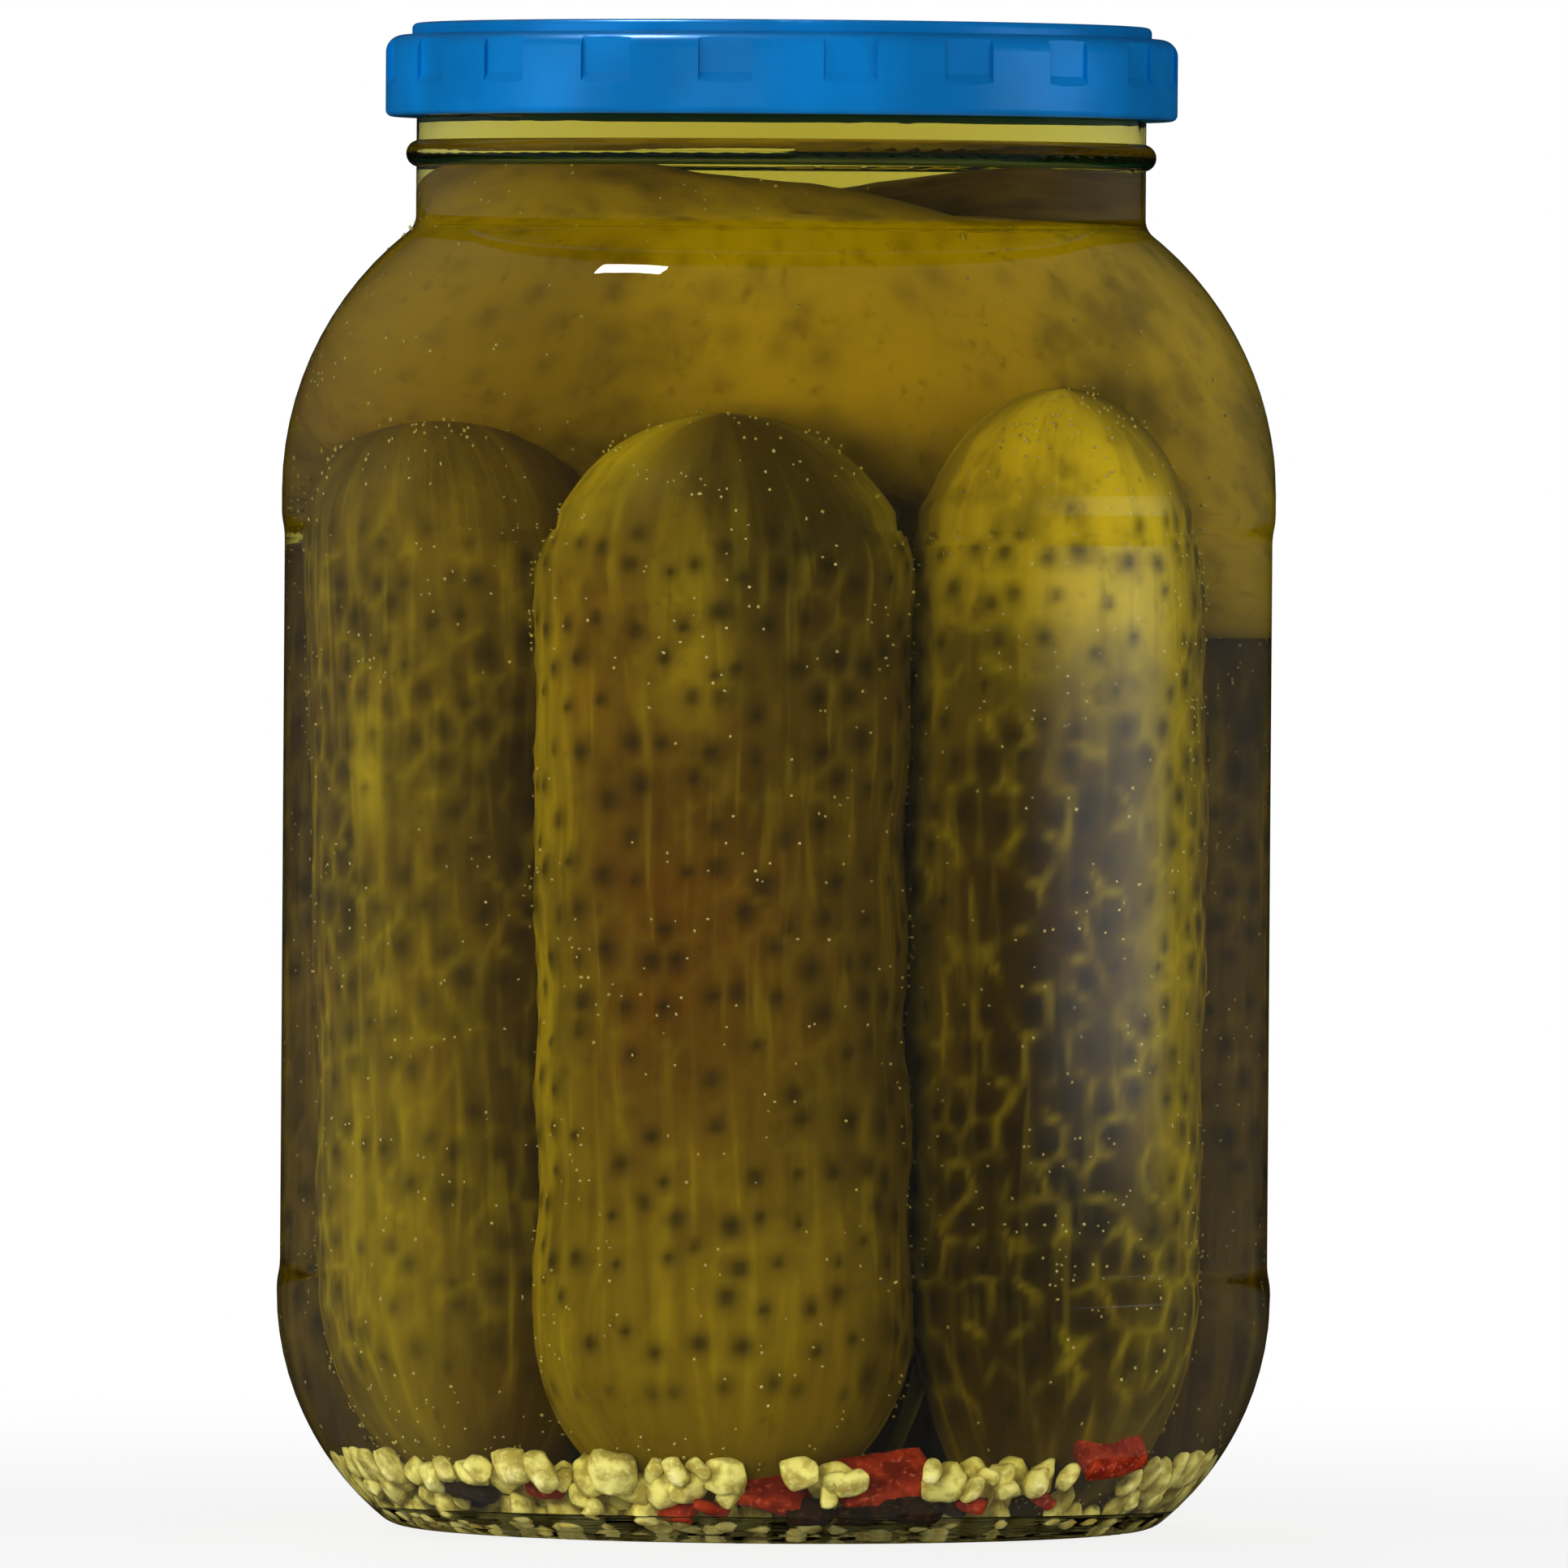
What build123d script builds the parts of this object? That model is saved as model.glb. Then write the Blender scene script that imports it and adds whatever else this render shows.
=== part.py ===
from build123d import *
from math import acos, asin, cos, degrees, radians, sin, sqrt
import os

# A large glass pickle jar with a twist-off metal lid, full of brine.
# Millimetres, +Z up, front towards -Y. The origin is the centre of the ring that it stands on.

# Glass: body
body_diameter = 140.6        # across the heel and the shoulder
wall = 3.2
heel_height = 33.0           # from the table to where the side stands upright
heel_radius = 41.3           # the long curve of the heel, seen in section
heel_band = 3.6              # plain band between the heel and the label panel
label_height = 103.6
label_recess = 0.45          # the panel sits this far inside the bands, to spare the label
label_step = 2.4             # height of the soft slope from a band into the panel
label_round = 10.0           # rounding at both ends of that slope
shoulder_band = 6.0
shoulder_radius = 46.8

# Glass: base
bearing_diameter = 101.0     # inner edge of the ring that meets the table
push_up = 3.2                # how far the base is domed up off the table
foot_round = 5.0             # rounding from the bearing ring into the heel
base_thickness = 5.0
floor_dome = 2.2             # rise of the floor inside, over the push-up

# Glass: neck and finish
neck_diameter = 103.2
neck_wall = 3.6
neck_fillet = 3.0            # hollow corner between shoulder and neck
neck_height = 10.2           # from the shoulder to the middle of the bead
bead_radius = 1.9            # transfer bead, seen in section
bead_stand = 1.45            # how far the bead stands out of the neck
finish_height = 18.0         # from the middle of the bead to the rim
rim_round = 1.3

# Glass: threads, short rising ridges that the lid's lugs run under
thread_count = 6
thread_first = -104.0        # bearing of the middle of the first thread, from +X
thread_span = 50.0           # degrees that one thread covers
thread_rise = 4.4            # from its low end to its high end
thread_section = 1.3         # radius of the ridge's section
thread_stand = 2.0           # how far the ridge stands out of the neck
thread_below_rim = 11.2      # from the rim down to the middle of a thread

# Lid, pressed from lacquered sheet
sheet = 0.4
thread_clearance = 0.5       # between the threads and the rolled hem, all round
lid_corner = 2.4             # rounding from skirt to ledge
rim_clearance = 0.3          # between the rim and the raised middle that sits over it
panel_rise = 1.7             # height of the raised middle over the ledge
panel_round = 0.8
bore_clearance = 1.3         # from the bore in to the edge of the sunk panel
panel_sink = 0.9
button_diameter = 30.0
button_sink = 0.7
press_slope = 1.2            # run of each pressed slope in the top
hem_radius = 0.95            # rolled hem under the skirt
lug_width = 8.0
lug_clearance = 0.5          # between a lug and the neck
lug_thickness = 0.9
lug_lead = 7.0               # degrees from a thread's high end back to its lug
lug_play = 0.13              # between a lug and the thread over it

# Lid: pressed dents round the skirt
dent_count = 20
dent_first = -80.1           # bearing of the middle of one dent, from +X
dent_width = 7.6
dent_depth = 0.65
dent_foot = 4.3              # from the bottom of the lid up to the dent
dent_slope = 1.4             # height of the dent's slanted lower edge

# Brine
headspace = 8.2              # from the rim of the glass down to the brine
brine_clearance = 0.05       # modelling gap between the brine and the glass

# Derived sizes and places
body_r = body_diameter / 2
neck_r = neck_diameter / 2
bore_r = neck_r - neck_wall
heel_axis_r = body_r - heel_radius
shoulder_axis_r = body_r - shoulder_radius
label_bottom = heel_height + heel_band
label_top = label_bottom + label_height
shoulder_base = label_top + shoulder_band
neck_base = shoulder_base + sqrt(shoulder_radius**2 - (neck_r - shoulder_axis_r) ** 2)
bead_z = neck_base + neck_height
rim_z = bead_z + finish_height
thread_z = rim_z - thread_below_rim
thread_r = neck_r + thread_stand - thread_section
brine_z = rim_z - headspace
hem_r = neck_r + thread_stand + thread_clearance + hem_radius
lid_r = hem_r + hem_radius
lug_inner_r = neck_r + lug_clearance
lug_edge_turn = thread_span / 2 - lug_lead - degrees(asin(lug_width / 2 / lug_inner_r))
thread_over_lug = thread_rise / 2 * sin(radians(lug_edge_turn)) / sin(radians(thread_span / 2))
lug_top = thread_z + thread_over_lug - thread_section - lug_play
hem_z = lug_top - lug_thickness / 2
lid_bottom = hem_z - hem_radius
lid_top = rim_z + sheet


def cavity_face(inset, top):
    """Half section of the space inside the glass, drawn in by inset and cut off at height top."""
    heel_r = heel_radius - wall - inset
    shoulder_r = shoulder_radius - wall - inset
    side_r = body_r - wall - inset
    mouth_r = bore_r - inset
    floor_z = base_thickness + inset
    heel_turn = degrees(asin((heel_height - floor_z) / heel_r))
    floor_r = heel_axis_r + heel_r * cos(radians(heel_turn))
    shoulder_turn = degrees(acos((mouth_r - shoulder_axis_r) / shoulder_r))
    mouth_z = shoulder_base + shoulder_r * sin(radians(shoulder_turn))
    with BuildSketch(Plane.XZ) as section:
        with BuildLine():
            ThreePointArc(
                (0, floor_z + floor_dome),
                (floor_r / 2, floor_z + 0.75 * floor_dome),
                (floor_r, floor_z),
            )
            CenterArc((heel_axis_r, heel_height), heel_r, -heel_turn, heel_turn)
            Line((side_r, heel_height), (side_r, shoulder_base))
            CenterArc((shoulder_axis_r, shoulder_base), shoulder_r, 0, shoulder_turn)
            Polyline(
                (mouth_r, mouth_z),
                (mouth_r, top),
                (0, top),
                (0, floor_z + floor_dome),
            )
        make_face()
    return section.sketch


def thread_plane(bearing):
    """Tilted plane of the thread whose middle is at this bearing. X points at its low end."""
    tilt = asin(thread_rise / 2 / (thread_r * sin(radians(thread_span / 2))))
    level = Plane(
        origin=(0, 0, thread_z),
        x_dir=(cos(bearing), sin(bearing), 0),
        z_dir=(sin(tilt) * sin(bearing), -sin(tilt) * cos(bearing), cos(tilt)),
    )
    return level.rotated((0, 0, -thread_span / 2))


def lid_face(inset):
    """Half section of the lid's form, drawn in by inset: 0 for its outside, sheet for its inside."""
    skirt_r = lid_r - inset
    step_r = neck_r + rim_clearance + sheet - inset
    land_r = bore_r - bore_clearance
    button_r = button_diameter / 2
    top_z = lid_top - inset
    ledge_z = top_z - panel_rise
    sunk_z = top_z - panel_sink
    with BuildSketch(Plane.XZ) as section:
        with BuildLine():
            Polyline(
                (0, hem_z),
                (skirt_r, hem_z),
                (skirt_r, ledge_z),
                (step_r, ledge_z),
                (step_r, top_z),
                (land_r, top_z),
                (land_r - press_slope, sunk_z),
                (button_r, sunk_z),
                (button_r - press_slope, sunk_z - button_sink),
                (0, sunk_z - button_sink),
                close=True,
            )
        make_face()
        fillet(section.vertices().sort_by_distance((skirt_r, ledge_z))[0], lid_corner - inset)
        fillet(section.vertices().sort_by_distance((step_r, top_z))[0], panel_round - inset)
    return section.sketch


def dent_block(inset):
    """Block that leaves one dent in the skirt, to the dent's outside or, with inset, its inside."""
    face_r = lid_r - dent_depth - inset
    outside_r = lid_r + lid_corner
    slope_z = lid_bottom + dent_foot
    with BuildPart() as block:
        with BuildSketch(Plane.XZ):
            with BuildLine():
                Polyline(
                    (face_r, lid_top),
                    (face_r, slope_z + dent_slope),
                    (face_r + dent_depth, slope_z),
                    (outside_r, slope_z),
                    (outside_r, lid_top),
                    close=True,
                )
            make_face()
        extrude(amount=dent_width / 2 + inset, both=True)
    return block.part


# The glass: a revolved shell, with a bead and rising threads round its neck.
with BuildPart() as jar:
    with BuildSketch(Plane.XZ) as glass_section:
        bearing_r = bearing_diameter / 2
        recessed_r = body_r - label_recess
        foot_r = heel_axis_r + sqrt(heel_radius**2 - heel_height**2)
        heel_turn = degrees(asin(heel_height / heel_radius))
        shoulder_turn = degrees(acos((neck_r - shoulder_axis_r) / shoulder_radius))
        with BuildLine():
            ThreePointArc((0, push_up), (bearing_r / 2, 0.75 * push_up), (bearing_r, 0))
            Line((bearing_r, 0), (foot_r, 0))
            CenterArc((heel_axis_r, heel_height), heel_radius, -heel_turn, heel_turn)
            Polyline(
                (body_r, heel_height),
                (body_r, label_bottom - label_step),
                (recessed_r, label_bottom),
                (recessed_r, label_top),
                (body_r, label_top + label_step),
                (body_r, shoulder_base),
            )
            CenterArc((shoulder_axis_r, shoulder_base), shoulder_radius, 0, shoulder_turn)
            Polyline((neck_r, neck_base), (neck_r, rim_z), (0, rim_z), (0, push_up))
        make_face()
        fillet(glass_section.vertices().sort_by_distance((foot_r, 0))[0], foot_round)
        for step_end in (
            (body_r, label_bottom - label_step),
            (recessed_r, label_bottom),
            (recessed_r, label_top),
            (body_r, label_top + label_step),
        ):
            fillet(glass_section.vertices().sort_by_distance(step_end)[0], label_round)
        fillet(glass_section.vertices().sort_by_distance((neck_r, neck_base))[0], neck_fillet)
    revolve(axis=Axis.Z)
    add(cavity_face(0, rim_z))
    revolve(axis=Axis.Z, mode=Mode.SUBTRACT)
    fillet(jar.edges().group_by(Axis.Z)[-1], rim_round)
    with BuildSketch(Plane.XZ):
        with Locations((neck_r + bead_stand - bead_radius, bead_z)):
            Circle(bead_radius)
    revolve(axis=Axis.Z)
    for index in range(thread_count):
        run = thread_plane(radians(thread_first + index * 360 / thread_count))
        with BuildSketch(Plane(origin=run.origin, x_dir=run.x_dir, z_dir=-run.y_dir)):
            with Locations((thread_r, 0)):
                Circle(thread_section)
        revolve(axis=Axis(run.origin, run.z_dir), revolution_arc=thread_span)
        turn = radians(thread_span)
        ends = [(thread_r, 0), (thread_r * cos(turn), thread_r * sin(turn))]
        with Locations([run.from_local_coords(end) for end in ends]):
            Sphere(thread_section)
jar.part.label = "jar"

# The lid's inside form, which is cut out of its outside to leave the sheet.
with BuildPart() as lid_inside:
    add(lid_face(sheet))
    revolve(axis=Axis.Z)
    with PolarLocations(0, dent_count, start_angle=dent_first):
        add(dent_block(sheet), mode=Mode.SUBTRACT)

# The lid: a thin pressed shell with a rolled hem, and lugs that reach in under the threads.
with BuildPart() as lid:
    add(lid_face(0))
    revolve(axis=Axis.Z)
    with PolarLocations(0, dent_count, start_angle=dent_first):
        add(dent_block(0), mode=Mode.SUBTRACT)
    add(lid_inside.part, mode=Mode.SUBTRACT)
    with BuildSketch(Plane.XZ):
        with Locations((hem_r, hem_z)):
            Circle(hem_radius)
    revolve(axis=Axis.Z)
    lug_first = thread_first + thread_span / 2 - lug_lead
    with PolarLocations((lug_inner_r + hem_r) / 2, thread_count, start_angle=lug_first):
        with Locations((0, 0, hem_z)):
            Box(hem_r - lug_inner_r, lug_width, lug_thickness)
lid.part.label = "lid"

# The brine, up to its level a little below the rim.
with BuildPart() as brine:
    add(cavity_face(brine_clearance, brine_z))
    revolve(axis=Axis.Z)
brine.part.label = "brine"

os.makedirs("parts", exist_ok=True)
export_step(jar.part, "parts/jar.step")
export_step(lid.part, "parts/lid.step")
export_step(brine.part, "parts/brine.step")
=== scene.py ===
"""The looks of a half-gallon jar of whole dill pickles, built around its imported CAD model."""

import math

import bmesh
import bpy
import numpy as np
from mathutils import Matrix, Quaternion, Vector


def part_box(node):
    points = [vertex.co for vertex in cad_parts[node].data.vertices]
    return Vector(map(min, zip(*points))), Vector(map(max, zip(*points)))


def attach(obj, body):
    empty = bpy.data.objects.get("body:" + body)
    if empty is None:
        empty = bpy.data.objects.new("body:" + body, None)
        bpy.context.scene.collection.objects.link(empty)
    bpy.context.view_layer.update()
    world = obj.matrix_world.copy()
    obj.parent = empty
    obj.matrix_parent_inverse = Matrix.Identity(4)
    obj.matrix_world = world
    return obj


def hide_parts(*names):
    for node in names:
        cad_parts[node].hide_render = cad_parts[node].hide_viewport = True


bl_info = {
    "name": "Pickle Jar",
    "version": (1, 0, 0),
    "blender": (4, 5, 0),
    "location": "3D View > Sidebar > Pickle Jar",
    "description": "Glass, lid, brine, pickles and spices for a wide-mouth pickle jar",
    "category": "Add Mesh",
}

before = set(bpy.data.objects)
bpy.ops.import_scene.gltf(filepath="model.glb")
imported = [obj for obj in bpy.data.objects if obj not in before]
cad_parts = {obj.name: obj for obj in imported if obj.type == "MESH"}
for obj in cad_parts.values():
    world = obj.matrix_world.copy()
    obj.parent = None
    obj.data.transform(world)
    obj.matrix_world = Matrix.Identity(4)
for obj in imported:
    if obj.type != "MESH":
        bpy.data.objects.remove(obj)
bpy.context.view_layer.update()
MM = 0.001
FINE = 1e-6
# Highest place of a garlic bit's middle, and how far out from the axis the bits are dropped.
GARLIC_TOP = 11.8 * MM
GARLIC_REACH = 61 * MM
# Stage: radius of the floor and of the cloth round the studio, and the jar's lean in the view.
FLOOR_RADIUS = 0.6
CLOTH_RADIUS = 6.0
LEAN = math.radians(0.4)

# Upright pickles: name, azimuth of the foot and of the head from the front towards +X in degrees,
# radius, lowest and highest points in mm, blunt length of the foot and of the head in mm, how far
# both stand in from the side of the jar in mm, and the seed of the skin.
UPRIGHT = (
    ("pickle_front", -9.0, -10.0, 24.6, 8.0, 155.6, 22.0, 22.0, 0.0, 11),
    ("pickle_left", -56.0, -69.0, 21.5, 9.5, 154.6, 26.0, 16.0, 0.3, 12),
    ("pickle_right", 53.0, 51.5, 20.8, 6.5, 158.4, 34.0, 28.0, 0.6, 13),
    ("pickle_far_right", 114.0, 117.0, 20.0, 12.0, 129.0, 28.0, 22.0, 0.0, 14),
    ("pickle_far_left", -121.0, -126.0, 20.0, 9.5, 139.0, 28.0, 22.0, 0.0, 15),
    ("pickle_back", 174.0, 176.0, 21.5, 9.0, 147.0, 28.0, 24.0, 0.0, 16),
    ("pickle_middle", 0.0, 0.0, 17.5, 10.0, 143.0, 26.0, 20.0, 48.0, 17),
)
# Pickles that lie on the uprights: name, the two ends and how the middle is bowed in mm,
# radius, blunt length of each end and the seed of its skin.
LYING = (
    ("pickle_top_front", (-60.5, -3, 168), (60, 26, 135), (0, -14, 14.5), 24.0, 26.0, 32.0, 21),
    ("pickle_top_back", (44, 28, 177), (-50, 28, 152), (0, 11, 3), 19.0, 24.0, 28.0, 22),
)
# How plainly a pickle's warts, the ridges between them and its lengthwise streaks show, from 0 to 1.
MARKED = {
    "pickle_front": (1.0, 0.2, 0.4),
    "pickle_left": (0.75, 0.5, 0.55),
    "pickle_right": (0.9, 0.85, 0.35),
    "pickle_top_front": (0.35, 0.0, 0.1),
    "pickle_top_back": (0.4, 0.2, 0.4),
}
# Patches on a pickle's skin: distance from its lower or left end and angle round it from
# the front in mm and degrees, half height in mm, half width in degrees, then how amber, pale and
# dark the patch is. Some are the skin's own colour. Others are painted light down sides that lamps
# graze, and painted shade on sides turned from the lamps, under the lying pickles and deep in the jar.
PATCHES = {
    "pickle_front": (
        (132, 26, 20, 56, 0.0, 0.0, 0.75),
        (120, -42, 20, 28, 0.8, 0.1, 0.0),
        (122, -12, 15, 13, 0.7, 0.4, 0.0),
        (75, -15, 40, 42, 0.7, 0.0, 0.1),
        # Painted shade down the right side, turned from the left lamps.
        (60, 80, 60, 24, 0.0, 0.0, 0.4),
        # Painted light down the left side, where the left lamp grazes it.
        (70, -80, 70, 24, 0.0, 0.3, 0.0),
        (25, 0, 26, 60, 0.35, 0.2, 0.0),
        (143, -60, 9, 30, 0.0, 0.5, 0.0),
        (138, 75, 14, 18, 0.0, 0.4, 0.0),
    ),
    "pickle_left": (
        (70, -20, 70, 26, 0.1, 0.08, 0.0),
        (30, -50, 30, 30, 0.1, 0.25, 0.0),
        # Amber, with painted shade down the right side, where the front pickle shades it.
        (62, 48, 62, 38, 0.2, 0.0, 0.8),
        (130, 10, 14, 60, 0.3, 0.15, 0.0),
        (98, -44, 8, 8, 0.0, 0.6, 0.0),
    ),
    "pickle_right": (
        (142, -20, 22, 80, 0.1, 1.0, 0.0),
        (132, 30, 16, 34, 0.1, 0.7, 0.0),
        (32, -5, 30, 60, 0.0, 0.0, 1.0),
        (85, 0, 34, 44, 0.2, 0.0, 0.75),
        # Painted light down the right and the left side, where the side lamps graze them.
        (80, 62, 60, 22, 0.0, 0.45, 0.0),
        (80, -70, 60, 20, 0.0, 0.3, 0.0),
    ),
    # The second patch is painted shade over the top, under the right end of the lying front pickle.
    "pickle_far_right": ((50, -60, 50, 90, 0.8, 0.4, 0.0), (117, -60, 14, 120, 0.0, 0.0, 1.0)),
    "pickle_far_left": ((60, 60, 70, 90, 0.4, 0.5, 0.0),),
    # Painted shade on the back and the hidden middle pickle, deep among the others, with some amber.
    "pickle_back": ((70, 180, 60, 70, 0.3, 0.0, 0.2),),
    "pickle_middle": ((70, 0, 90, 180, 0.2, 0.0, 0.8),),
    "pickle_top_front": (
        (16, 0, 26, 90, 0.9, 0.3, 0.0),
        (44, -20, 16, 60, 0.7, 0.25, 0.0),
        (62, 20, 20, 60, 0.3, 0.8, 0.0),
        (104, 0, 34, 90, 0.1, 1.0, 0.0),
        (75, -50, 40, 30, 0.2, 0.4, 0.1),
    ),
    "pickle_top_back": ((60, 0, 60, 180, 0.3, 0.6, 0.0),),
}
# Pepper slabs and dark husks that lie where they show: centre in mm, turn in degrees and
# half sizes in mm.
PEPPER = (
    ((-0.5, -51.5, 10.6), (64, 12, 4), (6.2, 4.6, 1.5)),
    ((14.5, -49.6, 11.2), (62, -10, 18), (6.8, 4.3, 1.4)),
    ((45.0, -36.5, 14.5), (52, -8, 50), (6.6, 5.6, 1.5)),
    ((-12.5, -50.5, 6.9), (70, 20, -14), (2.9, 2.3, 1.1)),
    ((-30.0, -42.0, 10.0), (50, 10, -36), (3.0, 2.0, 1.0)),
    ((36.0, -40.5, 8.6), (30, 40, 30), (3.0, 2.4, 1.1)),
    ((-8.0, -53.0, 6.6), (20, 0, 60), (2.6, 2.0, 1.0)),
    ((27.0, -46.5, 7.2), (35, 15, 0), (2.4, 1.9, 1.0)),
)
HUSKS = (
    ((-40.0, -37.5, 8.4), (30, 5, -40), (4.2, 2.4, 1.2)),
    ((5.0, -52.5, 6.2), (70, 0, 5), (3.4, 2.0, 1.3)),
    ((19.0, -50.0, 6.4), (66, 12, 20), (5.0, 2.2, 1.3)),
    ((12.0, -51.5, 6.0), (75, -10, 12), (3.6, 1.8, 1.2)),
    ((24.0, -47.0, 7.4), (60, 30, 27), (3.0, 1.8, 1.1)),
)


def linear(code):
    """The linear RGBA colour of an sRGB hex value."""

    def channel(value):
        value /= 255
        return value / 12.92 if value <= 0.04045 else ((value + 0.055) / 1.055) ** 2.4

    number = int(code, 16)
    return tuple(channel(number >> shift & 255) for shift in (16, 8, 0)) + (1.0,)


def colour_property(name, description, code):
    """A colour setting whose default is an sRGB hex value."""
    return bpy.props.FloatVectorProperty(
        name=name, description=description, subtype="COLOR", size=4, min=0, max=1, default=linear(code)
    )


class GlassSettings(bpy.types.PropertyGroup):
    """The jar and the brine in it."""

    glass: colour_property("Glass", "Tint of the flint glass", "F4F8F2")
    brine: colour_property("Brine", "What the brine lets lamps through as", "FCF6D8")
    reach: bpy.props.FloatProperty(
        name="Reach",
        description="How far the brine reaches into the wall",
        default=0.25 * MM,
        unit="LENGTH",
    )
    uptake: bpy.props.FloatProperty(
        name="Uptake", description="How strongly the brine takes up light, per metre", default=34.0, min=0
    )


class LidSettings(bpy.types.PropertyGroup):
    """The lacquered twist-off lid."""

    lacquer: colour_property("Lacquer", "The blue lacquer", "0078C4")
    roughness: bpy.props.FloatProperty(
        name="Roughness", description="Of the lacquer", default=0.3, min=0, max=1
    )


class PickleSettings(bpy.types.PropertyGroup):
    """The skin of the pickled cucumbers."""

    olive: colour_property("Olive", "Plain skin", "564404")
    amber: colour_property("Amber", "Where the skin has turned amber", "643E02")
    # The pale and dark colours also paint light and shade in the patches of PATCHES.
    pale: colour_property("Pale", "Pale yellow skin", "DCC418")
    dark: colour_property("Dark", "Dark olive-brown skin", "221802")
    wart: colour_property("Wart", "The dark spots", "1E1604")
    wart_gap: bpy.props.FloatProperty(
        name="Wart gap", description="Distance between warts", default=6.0 * MM, unit="LENGTH"
    )
    wart_height: bpy.props.FloatProperty(
        name="Wart height", description="How far a wart stands out", default=0.42 * MM, unit="LENGTH"
    )
    ridge_height: bpy.props.FloatProperty(
        name="Ridge height",
        description="Height of the ridges between warts",
        default=0.3 * MM,
        unit="LENGTH",
    )
    mesh_step: bpy.props.FloatProperty(
        name="Mesh step", description="Size of the mesh's faces", default=0.85 * MM, unit="LENGTH"
    )


class SpiceSettings(bpy.types.PropertyGroup):
    """What lies on the floor of the jar and floats in the brine."""

    garlic: colour_property("Garlic", "Chopped garlic", "FCF2A4")
    pepper: colour_property("Pepper", "Red pepper", "A83418")
    husk: colour_property("Husk", "Dark spice husks", "2A1A10")
    speck: colour_property("Speck", "Sediment", "DCD094")
    garlic_count: bpy.props.IntProperty(name="Garlic bits", description="How many", default=900, min=0)
    garlic_size: bpy.props.FloatProperty(
        name="Garlic size", description="Half the length of a bit", default=2.6 * MM, unit="LENGTH"
    )
    speck_count: bpy.props.IntProperty(name="Specks", description="How many", default=4500, min=0)
    speck_size: bpy.props.FloatProperty(
        name="Speck size", description="Half the length of a speck", default=0.16 * MM, unit="LENGTH"
    )


class StageSettings(bpy.types.PropertyGroup):
    """Floor, lamps and camera."""

    floor: colour_property("Floor", "Floor colour", "F2F2F0")
    eye_height: bpy.props.FloatProperty(
        name="Eye height", description="Height of the camera", default=0.156, unit="LENGTH"
    )
    eye_distance: bpy.props.FloatProperty(
        name="Eye distance", description="From the camera to the jar's axis", default=3.2, unit="LENGTH"
    )
    view_width: bpy.props.FloatProperty(
        name="View width", description="Width of the view at the jar's axis", default=0.2218, unit="LENGTH"
    )


class PickleJarSettings(bpy.types.PropertyGroup):
    """All the settings of the pickle jar."""

    glass: bpy.props.PointerProperty(type=GlassSettings)
    lid: bpy.props.PointerProperty(type=LidSettings)
    pickles: bpy.props.PointerProperty(type=PickleSettings)
    spices: bpy.props.PointerProperty(type=SpiceSettings)
    stage: bpy.props.PointerProperty(type=StageSettings)


# Shader and mesh helpers


def add(tree, kind, inputs=None, **settings):
    """Adds a node to a tree, sets its properties, and sets or links its inputs by name or place."""
    node = tree.nodes.new(kind)
    for name, value in settings.items():
        setattr(node, name, value)
    for name, value in (inputs or {}).items():
        if isinstance(value, bpy.types.NodeSocket):
            tree.links.new(value, node.inputs[name])
        else:
            node.inputs[name].default_value = value
    return node


def new_material(name):
    """An empty material with its node tree and output node. None of them is a lamp."""
    material = bpy.data.materials.new(name)
    material.cycles.emission_sampling = "NONE"
    material.use_nodes = True
    material.node_tree.nodes.clear()
    return material, material.node_tree, add(material.node_tree, "ShaderNodeOutputMaterial")


def new_piece(name, mesh, material):
    """A finished piece from a mesh in its place, riding on the jar's one body."""
    mesh.name = name
    piece = bpy.data.objects.new(name, mesh)
    bpy.context.scene.collection.objects.link(piece)
    mesh.materials.clear()
    mesh.materials.append(material)
    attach(piece, "root")
    return piece


def dress(node, material):
    """Puts a material on every slot of a CAD node."""
    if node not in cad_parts:
        raise RuntimeError(f"the model has no node named {node}")
    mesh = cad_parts[node].data
    if not mesh.materials:
        mesh.materials.append(material)
    for place in range(len(mesh.materials)):
        mesh.materials[place] = material


def mix_colour(tree, factor, first, second):
    """The output of a node that mixes two colours."""
    node = add(tree, "ShaderNodeMix", {"Factor": factor, 6: first, 7: second}, data_type="RGBA")
    return node.outputs[2]


def spread(tree, value, low, high, to_low=0.0, to_high=1.0):
    """The output of a node that maps a range of values to another, smoothly and clamped."""
    inputs = {"Value": value, "From Min": low, "From Max": high, "To Min": to_low, "To Max": to_high}
    return add(tree, "ShaderNodeMapRange", inputs, interpolation_type="SMOOTHSTEP").outputs[0]


def maths(tree, operation, first, second=0.0):
    """The output of a Math node."""
    return add(tree, "ShaderNodeMath", {0: first, 1: second}, operation=operation).outputs[0]


def lets_lamps_through(tree, surface, colour):
    """Mixes a glassy surface with a clear one for shadow and diffuse rays, so lamps light the inside."""
    path = add(tree, "ShaderNodeLightPath")
    factor = maths(tree, "MAXIMUM", path.outputs["Is Shadow Ray"], path.outputs["Is Diffuse Ray"])
    clear = add(tree, "ShaderNodeBsdfTransparent", {"Color": colour})
    return add(tree, "ShaderNodeMixShader", {0: factor, 1: surface, 2: clear.outputs[0]}).outputs[0]


# Profiles read from the model


def outline(node):
    """The (radius, height) points of a turned CAD node, from its lowest on the axis to its highest."""
    points = np.array([v.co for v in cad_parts[node].data.vertices])
    low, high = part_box(node)
    middle = (low.z + high.z) / 2
    pairs = {(round(math.hypot(x, y), 5), round(z, 5)) for x, y, z in points}
    ordered = sorted(pairs, key=lambda pair: math.atan2(pair[1] - middle, pair[0]))
    kept = [ordered[0]]
    for pair in ordered[1:]:
        if math.dist(pair, kept[-1]) > 0.15 * MM:
            kept.append(pair)
    return kept


BRINE_OUTLINE = outline("brine")


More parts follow.
